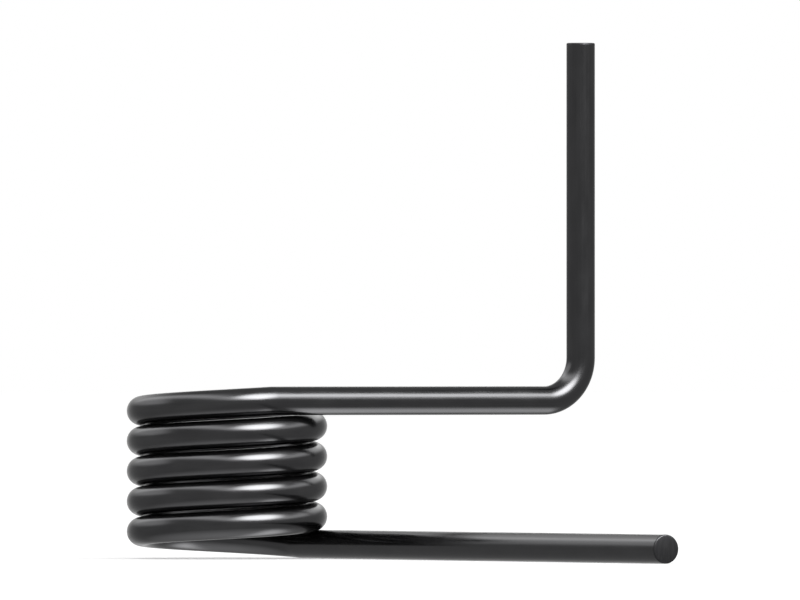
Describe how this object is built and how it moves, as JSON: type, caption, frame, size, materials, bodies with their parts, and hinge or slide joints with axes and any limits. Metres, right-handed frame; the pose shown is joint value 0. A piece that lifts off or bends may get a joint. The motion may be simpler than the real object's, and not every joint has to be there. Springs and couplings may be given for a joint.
{
  "type": "torsion spring",
  "caption": "Helical torsion spring of round steel wire: a close-wound coil with straight legs at a right angle to each other and an upturned end.",
  "frame": {"origin": "on the coil's axis, in the plane that the spring stands on", "axes": "+Z along the coil's axis, towards the upturned end; the lower leg runs along -Y and the upper leg along +X"},
  "size_m": [0.0498, 0.0845, 0.0541],
  "materials": {
    "spring_wire": "satin"
  },
  "bodies": {
    "root": {"torsion_spring": "spring_wire"}
  },
  "joints": []
}
